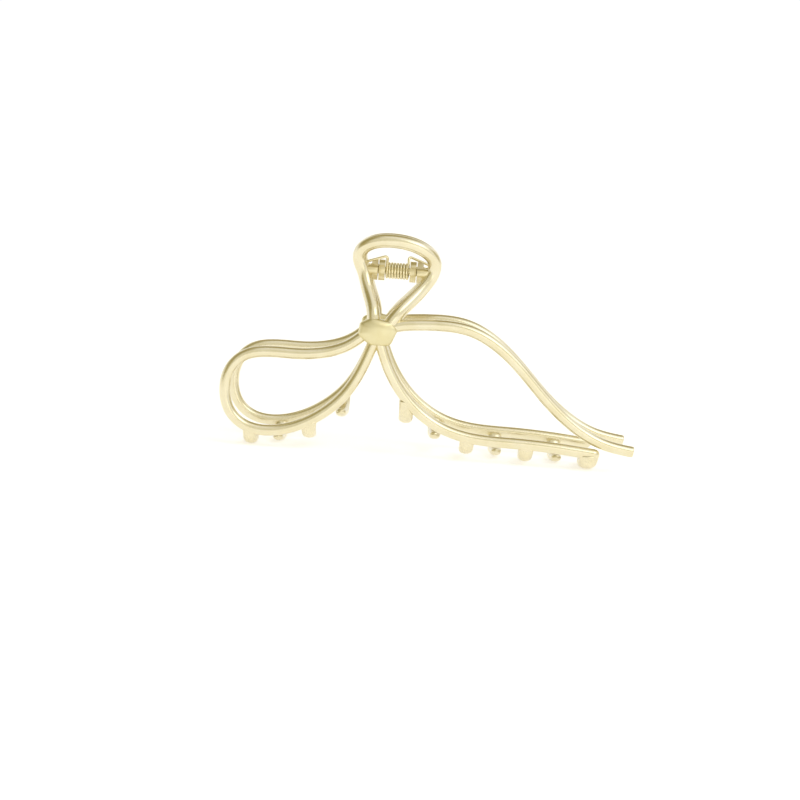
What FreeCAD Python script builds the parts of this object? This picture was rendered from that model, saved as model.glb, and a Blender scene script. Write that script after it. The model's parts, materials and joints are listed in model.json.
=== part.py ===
import FreeCAD, Part
import math
import os

# Ribbon-bow hair claw: two mirror-image jaws of bent round rod, hinged on one pin and closed by a torsion
# spring. Millimetres, +Z up. The claw stands on its teeth. The origin is the middle of the bounding box,
# on the floor. The hinge pin runs along X, the front jaw is on the -Y side, the back jaw on the +Y side.
# Rods, knots and teeth are drawn around the hinge middle and moved onto the frame when they are written.

V = FreeCAD.Vector

# Frame
HINGE_X = -10.9  # hinge middle, measured from the middle of the claw
HINGE_Z = 49.0  # hinge axis above the floor that the teeth stand on

# Rod and bow
ROD_D = 3.0
THUMB_ROD_D = 3.6
BOW_Y = 12.0  # middle plane of each bow, from the hinge axis

# Hinge
PIN_D = 2.0
HEAD_D = 3.2
HEAD_LENGTH = 0.5
LUG_D = 5.6
LUG_THICKNESS = 1.65
LUG_GAP = 0.25  # between a front lug and the back lug beside it
INNER_LUG_X = 3.4  # inner face of the back jaw's lugs
BORE_CLEARANCE = 0.05  # radial, pin in the back jaw's lugs
FOOT_D = 2.6  # round foot that carries a lug on the thumb loop
THUMB_LEFT = V(-9.2, 5.9, 0)  # thumb loop rods level with the hinge axis
THUMB_RIGHT = V(9.5, 5.9, 0)

# Spring
SPRING_WIRE_D = 0.7
SPRING_JOINT_D = 0.74  # where the coil's wire turns into a leg
SPRING_MEAN_R = 1.9
SPRING_PITCH = 0.78
SPRING_FULL_TURNS = 8
LEG_TOP = (4.2, 4.0)  # (y, z) of the corner where a spring leg turns outwards
LEG_END = (9.5, 3.7, 1.7)  # its end, against the inside of a thumb loop
LEG_BEND = 1.0  # how far from the corner the bend begins

# Knot
KNOT_BACK_Y = 10.3
KNOT_FRONT_Y = 14.7
KNOT_DOME_R = 9.0
KNOT_EDGE_R = 0.6

# Teeth: tongues that drop from a rod, turn under and reach past the middle of the claw
TOOTH_WIDTH = 3.8
TOOTH_TIP_WIDTH = 2.6
TOOTH_THICKNESS = 0.66  # as a part of the tooth's width
TOOTH_EDGE_R = 0.45  # as a part of the tooth's thickness
TOOTH_TAPER_START = 7.0  # inwards from the rod's middle plane
TOOTH_REACH = 15.0
WIDE_TOOTH = 5.0  # the last tooth, at the tip of the front tail

# Bow outline, as (x, z) from the hinge middle
UPPER_TAIL = (
    (-3.0, -15.8),
    (0.8, -14.3),
    (6.5, -13.4),
    (12.4, -13.1),
    (20.5, -13.9),
    (26.5, -16.5),
    (34.8, -23.1),
    (42.2, -30.7),
    (50.7, -37.7),
    (58.0, -41.3),
    (66.6, -42.9),
)
LOWER_TAIL = (
    (-3.3, -18.0),
    (-1.1, -23.8),
    (3.5, -31.5),
    (9.2, -37.1),
    (16.2, -40.9),
    (23.8, -42.6),
    (34.6, -43.0),
    (45.3, -43.4),
    (56.1, -44.3),
)
LEFT_LOOP = (
    (-7.4, -16.9),
    (-11.0, -19.8),
    (-17.5, -22.5),
    (-25.0, -23.4),
    (-33.4, -23.5),
    (-39.0, -25.0),
    (-42.6, -29.2),
    (-43.4, -34.0),
    (-41.6, -40.1),
    (-37.9, -43.3),
    (-32.6, -44.5),
    (-26.7, -43.7),
    (-18.9, -40.1),
    (-11.4, -33.2),
    (-6.5, -23.7),
    (-4.3, -17.4),
)
KNOT = (
    (-8.8, -13.8),
    (-5.7, -12.2),
    (-0.3, -13.1),
    (1.4, -15.1),
    (-0.4, -19.5),
    (-5.7, -19.7),
    (-9.1, -17.2),
)

# Thumb loop, as (x, distance from the hinge's middle plane, z)
THUMB_LOOP = (
    (-5.3, 12.0, -15.0),
    (-5.3, 11.8, -12.2),
    (-6.1, 9.8, -8.6),
    (-7.4, 7.5, -5.2),
    (-9.2, 5.9, 0.0),
    (-10.3, 6.3, 2.7),
    (-10.1, 7.2, 4.8),
    (-8.5, 8.1, 6.6),
    (-3.1, 8.8, 8.1),
    (0.6, 8.8, 8.0),
    (6.5, 8.1, 6.4),
    (9.8, 6.5, 3.1),
    (9.5, 5.9, 0.0),
    (8.0, 6.5, -2.7),
    (5.8, 7.9, -5.6),
    (3.2, 9.9, -8.5),
    (0.3, 11.8, -12.0),
    (-1.4, 12.0, -14.6),
)

# Teeth, as (rod it hangs from, x, z of the rod's middle there, z of the tooth's lowest point, width)
FRONT_TEETH = (
    ("left_loop", -35.9, -44.0, -HINGE_Z, TOOTH_WIDTH),
    ("left_loop", -20.4, -41.0, -46.4, TOOTH_WIDTH),
    ("lower_tail", 5.2, -33.4, -40.5, TOOTH_WIDTH),
    ("lower_tail", 22.0, -42.3, -47.5, TOOTH_WIDTH),
    ("lower_tail", 38.0, -43.1, -48.3, TOOTH_WIDTH),
    ("lower_tail", 54.8, -44.2, -HINGE_Z, WIDE_TOOTH),
)
BACK_TEETH = (
    ("left_loop", -29.0, -44.1, -HINGE_Z, TOOTH_WIDTH),
    ("left_loop", -12.4, -34.3, -41.2, TOOTH_WIDTH),
    ("lower_tail", 13.5, -39.7, -45.4, TOOTH_WIDTH),
    ("lower_tail", 30.5, -42.9, -48.6, TOOTH_WIDTH),
    ("lower_tail", 47.0, -43.5, -HINGE_Z, TOOTH_WIDTH),
)


def smooth_curve(points):
    curve = Part.BSplineCurve()
    curve.interpolate(Points=points)
    return curve


def largest_solid(shape):
    return max(shape.Solids, key=lambda solid: solid.Volume)


def sweep(edges, diameter, frenet=False):
    """A round wire or rod along the edges, which join end to end."""
    path = Part.Wire(edges)
    first = path.Edges[0]
    start = first.valueAt(first.FirstParameter)
    along = first.tangentAt(first.FirstParameter)
    section = Part.Wire(Part.Circle(start, along, diameter / 2).toShape())
    return largest_solid(path.makePipeShell([section], True, frenet))


def bow_rod(outline):
    """A rod of the front jaw's bow, which lies in one plane."""
    points = [V(x, -BOW_Y, z) for x, z in outline]
    return sweep([smooth_curve(points).toShape()], ROD_D)


def lower_tail():
    """The lower tail ends in a ball under the upper tail."""
    x, z = LOWER_TAIL[-1]
    ball = Part.makeSphere(ROD_D / 2, V(x, -BOW_Y, z))
    return bow_rod(LOWER_TAIL).fuse(ball).removeSplitter()


def thumb_loop():
    points = [V(x, -y, z) for x, y, z in THUMB_LOOP]
    return sweep([smooth_curve(points).toShape()], THUMB_ROD_D)


def knot():
    """The flat band that wraps the strands: a seven-sided pad with a domed front and soft edges."""
    corners = [V(x, -KNOT_BACK_Y, z) for x, z in KNOT]
    outline = Part.makePolygon(corners + corners[:1])
    pad = Part.Face(outline).extrude(V(0, KNOT_BACK_Y - KNOT_FRONT_Y, 0))
    middle_x = sum(x for x, z in KNOT) / len(KNOT)
    middle_z = sum(z for x, z in KNOT) / len(KNOT)
    dome = Part.makeSphere(KNOT_DOME_R, V(middle_x, KNOT_DOME_R - KNOT_FRONT_Y, middle_z))
    pad = largest_solid(pad.common(dome))
    front_edges = [edge for edge in pad.Edges if edge.BoundBox.YMax < -KNOT_BACK_Y - 0.1]
    return pad.makeFillet(KNOT_EDGE_R, front_edges)


def tooth(x, rod_z, low_z, width):
    """A tongue of the front jaw: down from the rod, under, and inwards with its tip turned up a little."""
    thickness = TOOTH_THICKNESS * width
    edge_r = TOOTH_EDGE_R * thickness
    drop = rod_z - low_z - thickness / 2
    profile = ((0.0, 0.06), (0.5, 0.42), (2.6, 0.84), (7.5, 1.0), (12.0, 0.96), (TOOTH_REACH, 0.82))
    spine = smooth_curve([V(x, inwards - BOW_Y, rod_z - drop * down) for inwards, down in profile])
    half_width = width / 2 - edge_r
    half_thickness = thickness / 2 - edge_r
    start = spine.value(spine.FirstParameter)
    along = spine.tangent(spine.FirstParameter)[0]
    through = V(1, 0, 0).cross(along)
    corners = [
        start + V(side, 0, 0) * half_width + through * half_thickness * face
        for side, face in ((-1, -1), (1, -1), (1, 1), (-1, 1))
    ]
    core = Part.Wire(Part.makePolygon(corners + corners[:1]).Edges)
    section = Part.Wire(core.makeOffset2D(edge_r).Edges)
    strip = Part.Wire(spine.toShape()).makePipeShell([section], True, False)
    return largest_solid(strip.common(tooth_plan(x, width)))


def tooth_plan(x, width):
    """The tongue seen from below: straight, then tapered, with a round tip."""
    tip_r = TOOTH_TIP_WIDTH / 2 * width / TOOTH_WIDTH
    root_y = -BOW_Y - ROD_D
    taper_y = TOOTH_TAPER_START - BOW_Y
    tip_y = TOOTH_REACH - BOW_Y - tip_r
    z = -HINGE_Z - ROD_D
    left = [V(x - width / 2, root_y, z), V(x - width / 2, taper_y, z), V(x - tip_r, tip_y, z)]
    right = [V(x + tip_r, tip_y, z), V(x + width / 2, taper_y, z), V(x + width / 2, root_y, z)]
    tip = Part.Arc(left[-1], V(x, tip_y + tip_r, z), right[0]).toShape()
    edges = Part.makePolygon(left).Edges + [tip] + Part.makePolygon(right).Edges
    edges.append(Part.makeLine(right[-1], left[0]))
    return Part.Face(Part.Wire(edges)).extrude(V(0, 0, HINGE_Z))


def lug(inner_x, thumb, bore_d):
    """A front lug: a disc round the pin, a web, and a round foot that meets the thumb loop's rod."""
    side = math.copysign(1, thumb.x)
    plate_start = V(side * inner_x, 0, 0)
    plate = V(side * LUG_THICKNESS, 0, 0)
    x_axis = V(side, 0, 0)
    foot_start = V(side * inner_x, -thumb.y, 0)
    disc = Part.makeCylinder(LUG_D / 2, LUG_THICKNESS, plate_start, x_axis)
    foot = Part.makeCylinder(FOOT_D / 2, abs(thumb.x) - inner_x, foot_start, x_axis)
    lean = math.asin((LUG_D - FOOT_D) / 2 / thumb.y)
    web_corners = []
    for centre_y, radius, up in ((0, LUG_D / 2, 1), (thumb.y, FOOT_D / 2, 1),
                                 (thumb.y, FOOT_D / 2, -1), (0, LUG_D / 2, -1)):
        y = -centre_y - radius * math.sin(lean)
        web_corners.append(V(side * inner_x, y, up * radius * math.cos(lean)))
    web = Part.Face(Part.makePolygon(web_corners + web_corners[:1])).extrude(plate)
    bore = Part.makeCylinder(bore_d / 2, LUG_THICKNESS, plate_start, x_axis)
    return disc.fuse([web, foot]).removeSplitter().cut(bore)


def hinge_pin(half_length):
    """The pin with its two peened heads."""
    shank = Part.makeCylinder(PIN_D / 2, 2 * half_length, V(-half_length, 0, 0), V(1, 0, 0))
    heads = []
    for side in (-1, 1):
        head = Part.makeCylinder(HEAD_D / 2, HEAD_LENGTH, V(side * half_length, 0, 0), V(side, 0, 0))
        rim = [e for e in head.Edges if abs(e.BoundBox.Center.x) > half_length + HEAD_LENGTH / 2
               and e.BoundBox.XLength < HEAD_LENGTH / 2]
        heads.append(head.makeFillet(HEAD_LENGTH * 0.8, rim))
    return shank.fuse(heads).removeSplitter()


def leg_edges(start, side):
    """One spring leg: up from the coil, round a bend, and down outwards to the inside of a thumb loop."""
    corner = V(start.x, side * LEG_TOP[0], LEG_TOP[1])
    end = V(side * LEG_END[0], side * LEG_END[1], LEG_END[2])
    back = (start - corner).normalize()
    out = (end - corner).normalize()
    half_angle = back.getAngle(out) / 2
    to_middle = LEG_BEND * (1 - math.sin(half_angle)) / math.cos(half_angle)
    bend_start = corner + back * LEG_BEND
    bend_middle = corner + (back + out).normalize() * to_middle
    bend_end = corner + out * LEG_BEND
    bend = Part.Arc(bend_start, bend_middle, bend_end).toShape()
    return [Part.makeLine(start, bend_start), bend, Part.makeLine(bend_end, end)]


def torsion_spring():
    """A close-wound coil round the pin. Its left leg leans on the front jaw, its right leg on the back."""
    leg_y, leg_z = LEG_TOP
    leave_angle = math.atan2(leg_z, leg_y) - math.acos(SPRING_MEAN_R / math.hypot(leg_y, leg_z))
    first_angle = math.pi - leave_angle
    last_angle = leave_angle + SPRING_FULL_TURNS * 2 * math.pi
    length = (last_angle - first_angle) / (2 * math.pi) * SPRING_PITCH
    helix = Part.makeHelix(SPRING_PITCH, length, SPRING_MEAN_R)
    along_x = FreeCAD.Rotation(V(1, 1, 1), 120)
    turned = FreeCAD.Rotation(V(1, 0, 0), math.degrees(first_angle))
    helix.Placement = FreeCAD.Placement(V(-length / 2, 0, 0), turned * along_x)
    coil = sweep(helix.Edges, SPRING_WIRE_D, frenet=True)
    ends = []
    for side, angle in ((-1, first_angle), (1, last_angle)):
        start = V(side * length / 2, SPRING_MEAN_R * math.cos(angle), SPRING_MEAN_R * math.sin(angle))
        joint = Part.makeSphere(SPRING_JOINT_D / 2, start)
        ends += [joint, sweep(leg_edges(start, side), SPRING_WIRE_D)]
    return largest_solid(coil.fuse(ends))


def front_jaw():
    """The front jaw's solids by name, drawn round the hinge middle, cut where they butt together."""
    solids = {"knot": knot()}
    solids["handle_loop"] = thumb_loop()
    solids["left_loop"] = bow_rod(LEFT_LOOP)
    solids["upper_tail"] = bow_rod(UPPER_TAIL)
    solids["lower_tail"] = lower_tail()
    butts = (
        ("handle_loop", ("knot",)),
        ("left_loop", ("knot", "handle_loop")),
        ("upper_tail", ("knot", "handle_loop")),
        ("lower_tail", ("knot", "left_loop", "upper_tail")),
    )
    for name, others in butts:
        solids[name] = largest_solid(solids[name].cut([solids[other] for other in others]))
    return solids


def mirrored(solid):
    return solid.mirror(V(0, 0, 0), V(0, 1, 0))


def add_teeth(jaw, teeth):
    for number, (rod_name, x, rod_z, low_z, width) in enumerate(teeth, 1):
        jaw[f"tooth_{number}"] = largest_solid(tooth(x, rod_z, low_z, width).cut(jaw[rod_name]))


def add_lugs(jaw, inner_x, bore_d):
    for side, thumb in (("left", THUMB_LEFT), ("right", THUMB_RIGHT)):
        plain = lug(inner_x, thumb, bore_d)
        jaw[f"hinge_lug_{side}"] = largest_solid(plain.cut(jaw["handle_loop"]))


def write(name, solid):
    placed = solid.copy()
    placed.translate(V(HINGE_X, 0, HINGE_Z))
    placed.exportStep(f"parts/{name}.step")


def build():
    os.makedirs("parts", exist_ok=True)
    outer_lug_x = INNER_LUG_X + LUG_THICKNESS + LUG_GAP
    front = front_jaw()
    back = dict(front)
    add_teeth(front, FRONT_TEETH)
    add_teeth(back, BACK_TEETH)
    add_lugs(front, outer_lug_x, PIN_D)
    add_lugs(back, INNER_LUG_X, PIN_D + 2 * BORE_CLEARANCE)
    for name, solid in front.items():
        write(f"front_{name}", solid)
    for name, solid in back.items():
        write(f"back_{name}", mirrored(solid))
    write("hinge_pin", hinge_pin(outer_lug_x + LUG_THICKNESS))
    write("torsion_spring", torsion_spring())


build()
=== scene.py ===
import json
import math

import bpy
import numpy as np
from mathutils import Matrix, Vector

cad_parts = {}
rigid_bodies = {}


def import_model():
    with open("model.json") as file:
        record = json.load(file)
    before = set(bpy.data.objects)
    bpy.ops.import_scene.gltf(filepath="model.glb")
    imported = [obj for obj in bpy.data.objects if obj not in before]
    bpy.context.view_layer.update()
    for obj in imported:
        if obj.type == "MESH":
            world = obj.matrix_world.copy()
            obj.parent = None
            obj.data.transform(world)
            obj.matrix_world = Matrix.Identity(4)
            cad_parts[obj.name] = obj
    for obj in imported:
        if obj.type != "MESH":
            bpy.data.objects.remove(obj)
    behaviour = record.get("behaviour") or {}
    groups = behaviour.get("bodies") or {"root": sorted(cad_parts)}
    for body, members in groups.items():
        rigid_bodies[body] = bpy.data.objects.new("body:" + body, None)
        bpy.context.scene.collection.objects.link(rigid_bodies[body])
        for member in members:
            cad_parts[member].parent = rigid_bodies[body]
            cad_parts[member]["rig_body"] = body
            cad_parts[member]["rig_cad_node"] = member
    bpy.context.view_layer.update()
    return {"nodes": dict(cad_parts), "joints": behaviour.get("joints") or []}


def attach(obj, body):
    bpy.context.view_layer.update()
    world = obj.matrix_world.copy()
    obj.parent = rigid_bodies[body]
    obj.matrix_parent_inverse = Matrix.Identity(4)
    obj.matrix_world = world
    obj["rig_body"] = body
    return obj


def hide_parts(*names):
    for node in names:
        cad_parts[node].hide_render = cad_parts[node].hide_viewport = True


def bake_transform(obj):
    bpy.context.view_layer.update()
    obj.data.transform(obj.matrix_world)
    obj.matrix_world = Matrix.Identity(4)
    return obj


# Ribbon-bow hair claw in pale gold metal. Each jaw's rods, knot, teeth and lugs, and the spring and pin
# between the jaws, are modelled over the CAD frame. Shapes are drawn in millimetres from the hinge's
# middle, for the front jaw, and mirrored for the back jaw. The scene itself is in metres.

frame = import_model()

MM = 0.001
HINGE = Vector(frame["joints"][0]["pos_m"])

# Driving sizes, in millimetres
ROD_R = 1.5
THUMB_ROD_R = 1.8
BOW_Y = 12.0
SPRING_WIRE_R = 0.35
SPRING_MEAN_R = 1.9
SPRING_PITCH = 0.78
SPRING_FULL_TURNS = 8
LEG_TOP = (4.2, 4.0)  # (y, z) of the corner where a spring leg turns outwards
LEG_END = (9.5, 3.7, 1.7)  # its end, against the inside of a thumb loop
LEG_BEND = 1.0  # how far from the corner the bend begins
TOOTH_WIDTH = 3.8
TOOTH_TIP_WIDTH = 2.6
TOOTH_THICKNESS = 0.7  # as a part of the tooth's width
TOOTH_REACH = 15.0
WIDE_TOOTH = 5.0  # the last tooth, at the tip of the front tail
FLOOR_Z = -HINGE.z / MM

# Bow outline of the front jaw, as (x, z) from the hinge middle
UPPER_TAIL = (
    (-3.0, -15.8), (0.8, -14.3), (6.5, -13.4), (12.4, -13.1), (20.5, -13.9), (26.5, -16.5),
    (34.8, -23.1), (42.2, -30.7), (50.7, -37.7), (58.0, -41.3), (66.6, -42.9),
)
LOWER_TAIL = (
    (-3.3, -18.0), (-1.1, -23.8), (3.5, -31.5), (9.2, -37.1), (16.2, -40.9), (23.8, -42.6),
    (34.6, -43.0), (45.3, -43.4), (56.1, -44.3),
)
LEFT_LOOP = (
    (-7.4, -16.9), (-11.0, -19.8), (-17.5, -22.5), (-25.0, -23.4), (-33.4, -23.5), (-39.0, -25.0),
    (-42.6, -29.2), (-43.4, -34.0), (-41.6, -40.1), (-37.9, -43.3), (-32.6, -44.5), (-26.7, -43.7),
    (-18.9, -40.1), (-11.4, -33.2), (-6.5, -23.7), (-4.3, -17.4),
)
KNOT = (
    (-8.8, -13.8), (-5.7, -12.2), (-0.3, -13.1), (1.4, -15.1), (-0.4, -19.5), (-5.7, -19.7),
    (-9.1, -17.2),
)

# Thumb loop of the front jaw, as (x, distance from the hinge's middle plane, z)
THUMB_LOOP = (
    (-5.3, 12.0, -15.0), (-5.3, 11.8, -12.2), (-6.1, 9.8, -8.6), (-7.4, 7.5, -5.2), (-9.2, 5.9, 0.0),
    (-10.3, 6.3, 2.7), (-10.1, 7.2, 4.8), (-8.5, 8.1, 6.6), (-3.1, 8.8, 8.1), (0.6, 8.8, 8.0),
    (6.5, 8.1, 6.4), (9.8, 6.5, 3.1), (9.5, 5.9, 0.0), (8.0, 6.5, -2.7), (5.8, 7.9, -5.6),
    (3.2, 9.9, -8.5), (0.3, 11.8, -12.0), (-1.4, 12.0, -14.6),
)

# Teeth, as (x, z of the rod's middle there, z of the tooth's lowest point, width)
TEETH = {
    "front": (
        (-35.9, -44.0, FLOOR_Z, TOOTH_WIDTH),
        (-20.4, -41.0, -46.4, TOOTH_WIDTH),
        (5.2, -33.4, -40.5, TOOTH_WIDTH),
        (22.0, -42.3, -47.5, TOOTH_WIDTH),
        (38.0, -43.1, -48.3, TOOTH_WIDTH),
        (54.8, -44.2, FLOOR_Z, WIDE_TOOTH),
    ),
    "back": (
        (-29.0, -44.1, FLOOR_Z, TOOTH_WIDTH),
        (-12.4, -34.3, -41.2, TOOTH_WIDTH),
        (13.5, -39.7, -45.4, TOOTH_WIDTH),
        (30.5, -42.9, -48.6, TOOTH_WIDTH),
        (47.0, -43.5, FLOOR_Z, TOOTH_WIDTH),
    ),
}


# ---- shapes -------------------------------------------------------------------------------------------


def smooth_path(points, step):
    """Points about a step apart on the natural cubic spline through the given points."""
    knots = np.array(points, float)
    gaps = np.linalg.norm(np.diff(knots, axis=0), axis=1)
    at = np.concatenate([[0.0], np.cumsum(gaps)])
    count = len(knots)
    system = np.eye(count)
    right = np.zeros_like(knots)
    for i in range(1, count - 1):
        system[i, i - 1 : i + 2] = gaps[i - 1], 2 * (gaps[i - 1] + gaps[i]), gaps[i]
        right[i] = 6 * ((knots[i + 1] - knots[i]) / gaps[i] - (knots[i] - knots[i - 1]) / gaps[i - 1])
    bend = np.linalg.solve(system, right)
    sample = np.linspace(0, at[-1], max(2, round(at[-1] / step) + 1))
    span = np.clip(np.searchsorted(at, sample, side="right") - 1, 0, count - 2)
    gap = gaps[span][:, None]
    before = (at[span + 1] - sample)[:, None]
    after = (sample - at[span])[:, None]
    return (
        bend[span] * before**3 / (6 * gap)
        + bend[span + 1] * after**3 / (6 * gap)
        + (knots[span] / gap - bend[span] * gap / 6) * before
        + (knots[span + 1] / gap - bend[span + 1] * gap / 6) * after
    )


def directions(path):
    along = np.gradient(path, axis=0)
    return along / np.linalg.norm(along, axis=1)[:, None]


def carried_normals(along, first):
    """Normals that turn with the path and never twist about it."""
    normal = np.array(first, float)
    normals = []
    for direction in along:
        normal = normal - direction * normal.dot(direction)
        normal = normal / np.linalg.norm(normal)
        normals.append(normal)
    return np.array(normals)


class Skin:
    """A closed mesh built ring by ring, with texture coordinates in millimetres round and along it."""

    def __init__(self):
        self.points, self.faces, self.uvs = [], [], []

    def loft(self, rings, along):
        count = len(rings[0])
        first = len(self.points)
        for ring in rings:
            self.points.extend(ring)
        middle = np.array(rings[len(rings) // 2])
        sides = np.linalg.norm(np.roll(middle, -1, axis=0) - middle, axis=1)
        round_it = np.concatenate([[0.0], np.cumsum(sides)])
        for i in range(len(rings) - 1):
            for j in range(count):
                k = (j + 1) % count
                self.faces.append((first + i * count + j, first + i * count + k,
                                   first + (i + 1) * count + k, first + (i + 1) * count + j))
                self.uvs += [(round_it[j], along[i]), (round_it[j + 1], along[i]),
                             (round_it[j + 1], along[i + 1]), (round_it[j], along[i + 1])]
        self.fan(first, rings[0], along[0], flip=True)
        self.fan(first + (len(rings) - 1) * count, rings[-1], along[-1], flip=False)

    def fan(self, first, ring, height, flip):
        """Closes an end with a middle point."""
        count = len(ring)
        middle = len(self.points)
        self.points.append(np.mean(ring, axis=0))
        for j in range(count):
            k = (j + 1) % count
            corners = (middle, first + k, first + j) if flip else (middle, first + j, first + k)
            self.faces.append(corners)
            self.uvs += [(0, height), (1, height), (0.5, height + 0.5)]


def placed(skin, name, jaw):
    """Turns a skin into a mesh object round the hinge, mirrored for the back jaw."""
    side = -1 if jaw == "back" else 1
    mesh = bpy.data.meshes.new(name)
    points = [HINGE + Vector((x, y * side, z)) * MM for x, y, z in skin.points]
    mesh.from_pydata(points, [], skin.faces)
    layer = mesh.uv_layers.new(name="UVMap")
    for loop, uv in zip(layer.data, skin.uvs):
        loop.uv = uv
    if side < 0:
        mesh.flip_normals()
    mesh.polygons.foreach_set("use_smooth", [True] * len(mesh.polygons))
    mesh.update()
    piece = bpy.data.objects.new(name, mesh)
    bpy.context.scene.collection.objects.link(piece)
    return piece


def finish_piece(piece, jaw, material, nodes):
    piece.data.materials.append(material)
    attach(piece, f"{jaw}_jaw")
    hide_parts(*nodes)


ROD_SIDES = 32
ROD_STEP = 0.5
TAIL_LAST_STEP = 0.38  # from the upper tail's last full ring to its flat end
TAIL_CHAMFER = 0.3


def ball_end(radius):
    """(distance past the path's end, ring radius) for a hemispherical end."""
    return [(radius * math.sin(a), radius * math.cos(a)) for a in np.radians((20, 40, 60, 75, 86))]


def cut_end(radius, chamfer):
    """The same for a square-cut end with its rim softened."""
    turns = np.radians((22, 45, 68, 90))
    rim = [(-chamfer + chamfer * math.sin(a), radius - chamfer * (1 - math.cos(a))) for a in turns]
    return rim + [(0.0, radius * 0.5)]


def tube(path, radius, sides, first_normal, start=(), end=()):
    """A round rod along the path. start and end are lists of extra rings beyond its ends."""
    along = directions(path)
    normals = carried_normals(along, first_normal)
    stations = [(path[0] - along[0] * past, along[0], normals[0], r) for past, r in reversed(start)]
    stations += [(path[i], along[i], normals[i], radius) for i in range(len(path))]
    stations += [(path[-1] + along[-1] * past, along[-1], normals[-1], r) for past, r in end]
    turn = np.linspace(0, 2 * math.pi, sides, endpoint=False)
    rings, heights, height = [], [], 0.0
    for i, (centre, direction, normal, r) in enumerate(stations):
        other = np.cross(direction, normal)
        rings.append(centre + r * (np.outer(np.cos(turn), normal) + np.outer(np.sin(turn), other)))
        if i:
            height += np.linalg.norm(centre - stations[i - 1][0])
        heights.append(height)
    skin = Skin()
    skin.loft(rings, heights)
    return skin


def bow_path(outline):
    return smooth_path([(x, -BOW_Y, z) for x, z in outline], ROD_STEP)


def rods(jaw, material):
    """The four rods of one jaw."""
    thumb = smooth_path([(x, -y, z) for x, y, z in THUMB_LOOP], ROD_STEP)
    upper = bow_path(UPPER_TAIL)[:-1]
    upper_end = [(TAIL_LAST_STEP + past, r) for past, r in cut_end(ROD_R, TAIL_CHAMFER)]
    shapes = {
        "handle_loop": (thumb, THUMB_ROD_R, ()),
        "left_loop": (bow_path(LEFT_LOOP), ROD_R, ()),
        "upper_tail": (upper, ROD_R, upper_end),
        "lower_tail": (bow_path(LOWER_TAIL), ROD_R, ball_end(ROD_R)),
    }
    for name, (path, radius, end) in shapes.items():
        skin = tube(path, radius, ROD_SIDES, (0, 1, 0), end=end)
        piece = placed(skin, f"{jaw}_{name}_rod", jaw)
        finish_piece(piece, jaw, material, [f"{jaw}_{name}"])


KNOT_EDGE_PARTS = 6
KNOT_CORNER_PULL = 0.22  # how far each corner is rounded off, as a part of the edge beside it
KNOT_CROWN_ROUNDING = 0.7  # how quickly the outline turns round as the rings shrink
# Rings from the knot's back to its front, as (distance from the hinge's middle plane, inset)
KNOT_RINGS = (
    (10.32, 1.6), (10.36, 0.75), (10.6, 0.25), (11.1, 0.0), (12.2, -0.04), (13.1, 0.02), (13.5, 0.16),
    (13.82, 0.48), (14.05, 0.95), (14.3, 1.55), (14.5, 2.2), (14.62, 2.85), (14.68, 3.4),
)


def soft_outline(corners):
    """The polygon with its corners rounded, as evenly spread points."""
    corners = np.array(corners, float)
    pieces = []
    for i, corner in enumerate(corners):
        before = corners[i - 1]
        after = corners[(i + 1) % len(corners)]
        start = corner + (before - corner) * KNOT_CORNER_PULL
        end = corner + (after - corner) * KNOT_CORNER_PULL
        for t in np.linspace(0, 1, KNOT_EDGE_PARTS, endpoint=False):
            pieces.append((1 - t) ** 2 * start + 2 * t * (1 - t) * corner + t**2 * end)
        following = after + (corner - after) * KNOT_CORNER_PULL
        for t in np.linspace(0, 1, KNOT_EDGE_PARTS, endpoint=False):
            pieces.append(end + (following - end) * t)
    return np.array(pieces)


def knot(jaw, material):
    """The pad that wraps the strands: faceted at its rim, domed in front."""
    outline = soft_outline(KNOT)
    middle = outline.mean(axis=0)
    reach = np.linalg.norm(outline - middle, axis=1)
    mean_reach = reach.mean()
    rings, heights = [], []
    for y, inset in KNOT_RINGS:
        # Towards the crown the seven-sided outline turns rounder.
        rounding = max(0.0, inset / mean_reach) * KNOT_CROWN_ROUNDING
        even = (reach * (1 - rounding) + mean_reach * rounding) / reach
        shrink = (even * (1 - inset / mean_reach))[:, None]
        flat = middle + (outline - middle) * shrink
        rings.append(np.column_stack([flat[:, 0], np.full(len(flat), -y), flat[:, 1]]))
        heights.append(y + inset)
    skin = Skin()
    skin.loft(rings, heights)
    piece = placed(skin, f"{jaw}_knot_pad", jaw)
    finish_piece(piece, jaw, material, [f"{jaw}_knot"])


TOOTH_SIDES = 28
TOOTH_STEP = 0.32
TOOTH_SQUARENESS = 2.2  # exponent of the section's superellipse: 2 is an ellipse
# A tooth's middle line, as (distance inwards from the rod, part of the drop to its lowest point)
TOOTH_PROFILE = ((0.0, 0.06), (0.5, 0.42), (2.6, 0.84), (7.5, 1.0), (12.0, 0.96), (TOOTH_REACH, 0.82))
# Parts of a tooth's length where it starts to narrow and to thin, and how much thinner its tip is
NARROWS_FROM = 0.45
THINS_FROM = 0.6
TIP_THINNING = 0.35
LEAST_TIP = 0.015  # keeps the last ring from closing to a point
# The root flares where it is soldered to the rod
ROOT_LENGTH = 1.5
ROOT_FLARE = 0.06


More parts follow.
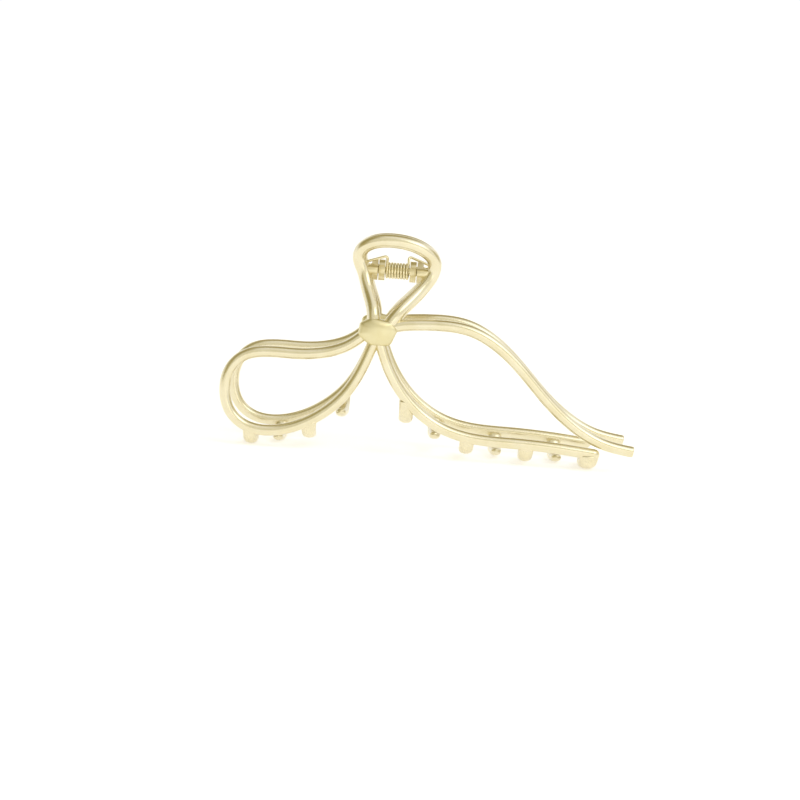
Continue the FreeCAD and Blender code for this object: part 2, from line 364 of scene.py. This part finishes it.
def tongue(x, rod_z, low_z, width):
    """A tooth: down from the rod, under, and inwards to a round tip."""
    thickness = TOOTH_THICKNESS * width
    drop = rod_z - low_z - thickness / 2
    points = [(x, inwards - BOW_Y, rod_z - drop * down) for inwards, down in TOOTH_PROFILE]
    path = smooth_path(points, TOOTH_STEP)
    along = directions(path)
    lengths = np.concatenate([[0.0], np.cumsum(np.linalg.norm(np.diff(path, axis=0), axis=1))])
    total = lengths[-1]
    tip_r = TOOTH_TIP_WIDTH / 2 * width / TOOTH_WIDTH
    turn = np.linspace(0, 2 * math.pi, TOOTH_SIDES, endpoint=False)
    power = 2 / TOOTH_SQUARENESS
    across = np.sign(np.cos(turn)) * np.abs(np.cos(turn)) ** power
    through = np.sign(np.sin(turn)) * np.abs(np.sin(turn)) ** power
    rings = []
    for centre, direction, length in zip(path, along, lengths):
        part = length / total
        narrowing = max(0.0, (part - NARROWS_FROM) / (1 - NARROWS_FROM))
        thinning = max(0.0, (part - THINS_FROM) / (1 - THINS_FROM))
        half_width = width / 2 - (width / 2 - tip_r) * narrowing
        half_thickness = thickness / 2 * (1 - TIP_THINNING * thinning)
        to_tip = total - length
        if to_tip < tip_r:
            round_off = math.sqrt(max(LEAST_TIP, 1 - (1 - to_tip / tip_r) ** 2))
            half_width *= round_off
            half_thickness *= 0.3 + 0.7 * round_off
        half_width *= 1 + ROOT_FLARE * math.exp(-((length / ROOT_LENGTH) ** 2))
        up = np.cross((1.0, 0.0, 0.0), direction)
        rings.append(centre + np.outer(across * half_width, (1.0, 0.0, 0.0))
                     + np.outer(through * half_thickness, up))
    skin = Skin()
    skin.loft(rings, list(lengths))
    return skin


def teeth(jaw, material):
    for number, (x, rod_z, low_z, width) in enumerate(TEETH[jaw], 1):
        piece = placed(tongue(x, rod_z, low_z, width), f"{jaw}_tooth_{number}_tongue", jaw)
        finish_piece(piece, jaw, material, [f"{jaw}_tooth_{number}"])


def rounded_copy(node, name, width):
    """A copy of a CAD node with its sharp edges rounded."""
    piece = frame["nodes"][node].copy()
    piece.data = piece.data.copy()
    piece.name = name
    piece.parent = None
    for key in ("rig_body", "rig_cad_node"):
        del piece[key]
    bpy.context.scene.collection.objects.link(piece)
    weld = piece.modifiers.new("weld", "WELD")
    weld.merge_threshold = 0.02 * MM
    bevel = piece.modifiers.new("round", "BEVEL")
    bevel.width = width * MM
    bevel.segments = 3
    bevel.angle_limit = math.radians(50)
    evaluated = piece.evaluated_get(bpy.context.evaluated_depsgraph_get())
    mesh = bpy.data.meshes.new_from_object(evaluated)
    piece.modifiers.clear()
    piece.data = mesh
    mesh.materials.clear()
    mesh.polygons.foreach_set("use_smooth", [True] * len(mesh.polygons))
    mesh.set_sharp_from_angle(angle=math.radians(40))
    return piece


LUG_ROUNDING = 0.22
PIN_ROUNDING = 0.12


# The lugs and the pin get a darker gold: painted shade of the hinge between the jaws.
def hinge(shaded_lug_material, shaded_pin_material):
    for jaw in ("front", "back"):
        for side in ("left", "right"):
            node = f"{jaw}_hinge_lug_{side}"
            piece = rounded_copy(node, f"{node}_plate", LUG_ROUNDING)
            finish_piece(piece, jaw, shaded_lug_material, [node])
    piece = rounded_copy("hinge_pin", "hinge_pin_peened", PIN_ROUNDING)
    finish_piece(piece, "front", shaded_pin_material, ["hinge_pin"])


WIRE_SIDES = 14
WIRE_STEPS_PER_TURN = 28
WIRE_CHAMFER = 0.1


def spring_path():
    """The wire's middle line: left leg, coil, right leg."""
    leg_y, leg_z = LEG_TOP
    leave_angle = math.atan2(leg_z, leg_y) - math.acos(SPRING_MEAN_R / math.hypot(leg_y, leg_z))
    first_angle = math.pi - leave_angle
    last_angle = leave_angle + SPRING_FULL_TURNS * 2 * math.pi
    turns = (last_angle - first_angle) / (2 * math.pi)
    half = turns * SPRING_PITCH / 2
    angles = np.linspace(first_angle, last_angle, round(turns * WIRE_STEPS_PER_TURN) + 1)
    part = (angles - first_angle) / (last_angle - first_angle)
    circle = SPRING_MEAN_R * np.array((np.cos(angles), np.sin(angles)))
    coil = np.column_stack([(2 * part - 1) * half, *circle])
    left, right = leg_path(coil[0], -1), leg_path(coil[-1], 1)
    return np.vstack([left[::-1], coil, right]), half


def leg_path(start, side):
    """One spring leg's middle line, from the coil's end up, round a bend and down outwards."""
    corner = np.array((start[0], side * LEG_TOP[0], LEG_TOP[1]))
    end = np.array((side * LEG_END[0], side * LEG_END[1], LEG_END[2]))
    back = (start - corner) / np.linalg.norm(start - corner)
    out = (end - corner) / np.linalg.norm(end - corner)
    bend_start = corner + back * LEG_BEND
    bend_end = corner + out * LEG_BEND
    straight = [start + (bend_start - start) * t for t in np.linspace(0, 1, 12)[1:-1]]
    bend = [
        (1 - t) ** 2 * bend_start + 2 * t * (1 - t) * corner + t**2 * bend_end
        for t in np.linspace(0, 1, 9)
    ]
    run = [bend_end + (end - bend_end) * t for t in np.linspace(0, 1, 12)[1:]]
    return np.array(straight + bend + run)


def torsion_spring(material):
    """The wire: left leg against the front jaw, coil, right leg against the back; fixed, it doesn't wind
    as they open.
    """
    path, half = spring_path()
    rounding = cut_end(SPRING_WIRE_R, WIRE_CHAMFER)
    skin = tube(path, SPRING_WIRE_R, WIRE_SIDES, (0, 0, 1), start=rounding, end=rounding)
    piece = placed(skin, "torsion_spring_wire", "front")
    piece.data.materials.append(material)
    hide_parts("torsion_spring")
    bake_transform(piece)


# ---- materials ----------------------------------------------------------------------------------------


class Nodes:
    """Shorthand for building a material's node tree."""

    def __init__(self, name):
        self.material = bpy.data.materials.new(name)
        self.material.use_nodes = True
        self.tree = self.material.node_tree
        self.shader = self.tree.nodes["Principled BSDF"]

    def add(self, kind, values=None, **inputs):
        node = self.tree.nodes.new(kind)
        for key, value in (values or {}).items():
            setattr(node, key, value)
        for key, value in inputs.items():
            node.inputs[key].default_value = value
        return node

    def link(self, source, target):
        self.tree.links.new(source, target)

    def noise(self, vector, scale, detail=3.0, roughness=0.55):
        node = self.add("ShaderNodeTexNoise", Scale=scale, Detail=detail, Roughness=roughness)
        self.link(vector, node.inputs["Vector"])
        return node.outputs["Fac"]

    def ramp(self, value, low, high, low_colour, high_colour):
        node = self.add("ShaderNodeValToRGB")
        node.color_ramp.elements[0].position = low
        node.color_ramp.elements[1].position = high
        node.color_ramp.elements[0].color = (*low_colour, 1)
        node.color_ramp.elements[1].color = (*high_colour, 1)
        self.link(value, node.inputs["Fac"])
        return node.outputs["Color"]

    def span(self, value, low, high):
        node = self.add("ShaderNodeMapRange")
        node.inputs["To Min"].default_value = low
        node.inputs["To Max"].default_value = high
        self.link(value, node.inputs["Value"])
        return node.outputs["Result"]


def gold(name, light, deep, roughness, streaks, pits):
    """Plated metal: slow colour drift, polishing streaks along the piece, fine pits, uneven gloss.

    streaks and pits are bump heights in micrometres.
    """
    m = Nodes(name)
    place = m.add("ShaderNodeTexCoord")
    along = m.add("ShaderNodeMapping")
    along.inputs["Scale"].default_value = (5.0, 0.22, 1.0)
    m.link(place.outputs["UV"], along.inputs["Vector"])
    drift = m.noise(place.outputs["Object"], 160.0)
    streak = m.noise(along.outputs["Vector"], 2.4, detail=6.0, roughness=0.7)
    pit = m.noise(place.outputs["Object"], 3200.0, detail=2.0)
    m.link(m.ramp(drift, 0.32, 0.7, deep, light), m.shader.inputs["Base Color"])
    m.shader.inputs["Metallic"].default_value = 1.0
    gloss = m.add("ShaderNodeMath", {"operation": "ADD"})
    m.link(m.span(streak, roughness - 0.06, roughness + 0.05), gloss.inputs[0])
    m.link(m.span(drift, -0.03, 0.04), gloss.inputs[1])
    m.link(gloss.outputs[0], m.shader.inputs["Roughness"])
    first = m.add("ShaderNodeBump", Strength=0.6, Distance=pits * 1e-6)
    m.link(pit, first.inputs["Height"])
    second = m.add("ShaderNodeBump", Strength=0.6, Distance=streaks * 1e-6)
    m.link(streak, second.inputs["Height"])
    m.link(first.outputs["Normal"], second.inputs["Normal"])
    m.link(second.outputs["Normal"], m.shader.inputs["Normal"])
    return m.material


def pale_floor():
    m = Nodes("pale_floor")
    place = m.add("ShaderNodeTexCoord")
    grain = m.noise(place.outputs["Object"], 900.0)
    shade = m.ramp(grain, 0.2, 0.8, (0.93, 0.93, 0.93), (0.96, 0.96, 0.96))
    m.link(shade, m.shader.inputs["Base Color"])
    m.shader.inputs["Roughness"].default_value = 0.9
    m.shader.inputs["Emission Color"].default_value = (0.95, 0.96, 1, 1)
    m.shader.inputs["Emission Strength"].default_value = 0.43
    return m.material


# ---- studio -------------------------------------------------------------------------------------------

CAMERA_FROM_HINGE = Vector((3.356, -497.62, 19.07))
CAMERA_DOWN = math.radians(6.2)
CAMERA_ROLL = math.radians(4.4)
SENSOR = 36.0
LENS = 82.53
FLOOR_HALF = 6.0  # metres
WHITE = (1.0, 1.0, 1.0)


def camera():
    data = bpy.data.cameras.new("camera")
    data.sensor_width = SENSOR
    data.lens = LENS
    data.clip_start = 0.01
    view = bpy.data.objects.new("camera", data)
    forward = Vector((0, math.cos(CAMERA_DOWN), -math.sin(CAMERA_DOWN)))
    level_up = Vector((0, math.sin(CAMERA_DOWN), math.cos(CAMERA_DOWN)))
    level_right = Vector((1, 0, 0))
    right = level_right * math.cos(CAMERA_ROLL) + level_up * math.sin(CAMERA_ROLL)
    up = level_up * math.cos(CAMERA_ROLL) - level_right * math.sin(CAMERA_ROLL)
    turned = Matrix((right, up, -forward)).transposed().to_4x4()
    view.matrix_world = Matrix.Translation(HINGE + CAMERA_FROM_HINGE * MM) @ turned
    bpy.context.scene.collection.objects.link(view)
    bpy.context.scene.camera = view


def floor():
    mesh = bpy.data.meshes.new("floor")
    corners = [(x * FLOOR_HALF, y * FLOOR_HALF, 0) for x, y in ((-1, -1), (1, -1), (1, 1), (-1, 1))]
    mesh.from_pydata(corners, [], [(0, 1, 2, 3)])
    plane = bpy.data.objects.new("floor", mesh)
    bpy.context.scene.collection.objects.link(plane)
    mesh.materials.append(pale_floor())


def mixed(tree, factor, first, second):
    """A colour between first and second, which are colours or sockets."""
    blend = tree.nodes.new("ShaderNodeMix")
    blend.data_type = "RGBA"
    sockets = {socket.identifier: socket for socket in blend.inputs}
    tree.links.new(factor, sockets["Factor_Float"])
    for key, value in (("A_Color", first), ("B_Color", second)):
        if isinstance(value, bpy.types.NodeSocket):
            tree.links.new(value, sockets[key])
        else:
            sockets[key].default_value = (*value, 1)
    return next(socket for socket in blend.outputs if socket.identifier == "Result_Color")


def world():
    """A white studio tent. Soft darker panels, hidden from the camera, draw lines along the rods."""
    tent = bpy.data.worlds.new("tent")
    bpy.context.scene.world = tent
    tent.use_nodes = True
    tree = tent.node_tree
    background = tree.nodes["Background"]
    place = tree.nodes.new("ShaderNodeTexCoord")
    # Each panel: direction, cosine at its edge and where it is full, colour
    panels = (
        ((0.0, -1.0, 0.1), 0.35, 0.95, (0.80, 0.77, 0.65)),
        ((-0.82, -0.55, 0.1), 0.86, 0.96, (0.48, 0.42, 0.21)),
        ((-0.69, -0.15, 0.70), 0.78, 0.94, (0.39, 0.34, 0.16)),
        ((0.0, 0.40, 0.92), 0.80, 0.94, (0.43, 0.37, 0.19)),
        ((0.9, 0.1, 0.35), 0.90, 0.98, (0.60, 0.53, 0.32)),
    )
    colour = WHITE
    for direction, edge, middle, panel_colour in panels:
        dot = tree.nodes.new("ShaderNodeVectorMath")
        dot.operation = "DOT_PRODUCT"
        dot.inputs[1].default_value = Vector(direction).normalized()
        tree.links.new(place.outputs["Generated"], dot.inputs[0])
        fall = tree.nodes.new("ShaderNodeMapRange")
        fall.interpolation_type = "SMOOTHSTEP"
        fall.inputs["From Min"].default_value = edge
        fall.inputs["From Max"].default_value = middle
        tree.links.new(dot.outputs["Value"], fall.inputs["Value"])
        colour = mixed(tree, fall.outputs["Result"], colour, panel_colour)
    rays = tree.nodes.new("ShaderNodeLightPath")
    colour = mixed(tree, rays.outputs["Is Camera Ray"], colour, WHITE)
    tree.links.new(colour, background.inputs["Color"])
    background.inputs["Strength"].default_value = 1.04


LIGHT_AIM = Vector((0, 0, 0.03))


def soft_box(name, place, size, power):
    """A rectangular light aimed at the claw, in metres and watts."""
    data = bpy.data.lights.new(name, "AREA")
    data.shape = "RECTANGLE"
    data.size, data.size_y = size
    data.energy = power
    light = bpy.data.objects.new(name, data)
    light.location = place
    light.rotation_euler = (LIGHT_AIM - Vector(place)).to_track_quat("-Z", "Y").to_euler()
    bpy.context.scene.collection.objects.link(light)


def studio():
    camera()
    floor()
    world()
    soft_box("key", place=(0.35, -0.45, 0.55), size=(0.45, 0.3), power=0.6)
    soft_box("fill", place=(0.25, -0.8, 0.12), size=(0.5, 0.2), power=0.2)
    bpy.context.scene.view_settings.view_transform = "Standard"


# ---- the claw -----------------------------------------------------------------------------------------

LIGHT_GOLD = (0.83, 0.77, 0.58)
DEEP_GOLD = (0.78, 0.71, 0.49)
KHAKI_GOLD = (0.79, 0.73, 0.48)
DEEP_KHAKI_GOLD = (0.73, 0.65, 0.37)
# The spring wire's gold is lighter than the rods' gold: painted light that offsets the shade between the
# coil's turns.
LIT_WIRE_GOLD = (0.91, 0.84, 0.60)
DEEP_LIT_WIRE_GOLD = (0.85, 0.77, 0.51)
# The lugs' and pin's gold is a darker copy of the rods' gold: painted shade for the hinge, which sits
# between the jaws.
SHADED_LUG_GOLD = (0.80, 0.72, 0.47)
DEEP_SHADED_LUG_GOLD = (0.73, 0.64, 0.38)

rod_gold = gold("rod_gold_satin", LIGHT_GOLD, DEEP_GOLD, roughness=0.24, streaks=6.0, pits=3.0)
knot_gold = gold("knot_gold_satin", KHAKI_GOLD, DEEP_KHAKI_GOLD, roughness=0.36, streaks=4.0, pits=5.0)
tooth_gold = gold("tooth_gold_satin", LIGHT_GOLD, DEEP_GOLD, roughness=0.27, streaks=5.0, pits=4.0)
# Lugs and pin: darker gold, painted shade of the hinge between the jaws.
shaded_lug_gold = gold("lug_gold_satin_painted_shade", SHADED_LUG_GOLD, DEEP_SHADED_LUG_GOLD, roughness=0.33, streaks=6.0, pits=5.0)
shaded_pin_gold = gold("pin_gold_polished_painted_shade", SHADED_LUG_GOLD, DEEP_SHADED_LUG_GOLD, roughness=0.22, streaks=3.0, pits=2.0)
# Spring wire: lighter gold, painted light against the shade between its turns.
lit_spring_gold = gold("spring_gold_wire_painted_light", LIT_WIRE_GOLD, DEEP_LIT_WIRE_GOLD, roughness=0.26, streaks=8.0, pits=2.0)

for jaw_name in ("front", "back"):
    rods(jaw_name, rod_gold)
    knot(jaw_name, knot_gold)
    teeth(jaw_name, tooth_gold)
hinge(shaded_lug_gold, shaded_pin_gold)
torsion_spring(lit_spring_gold)
studio()
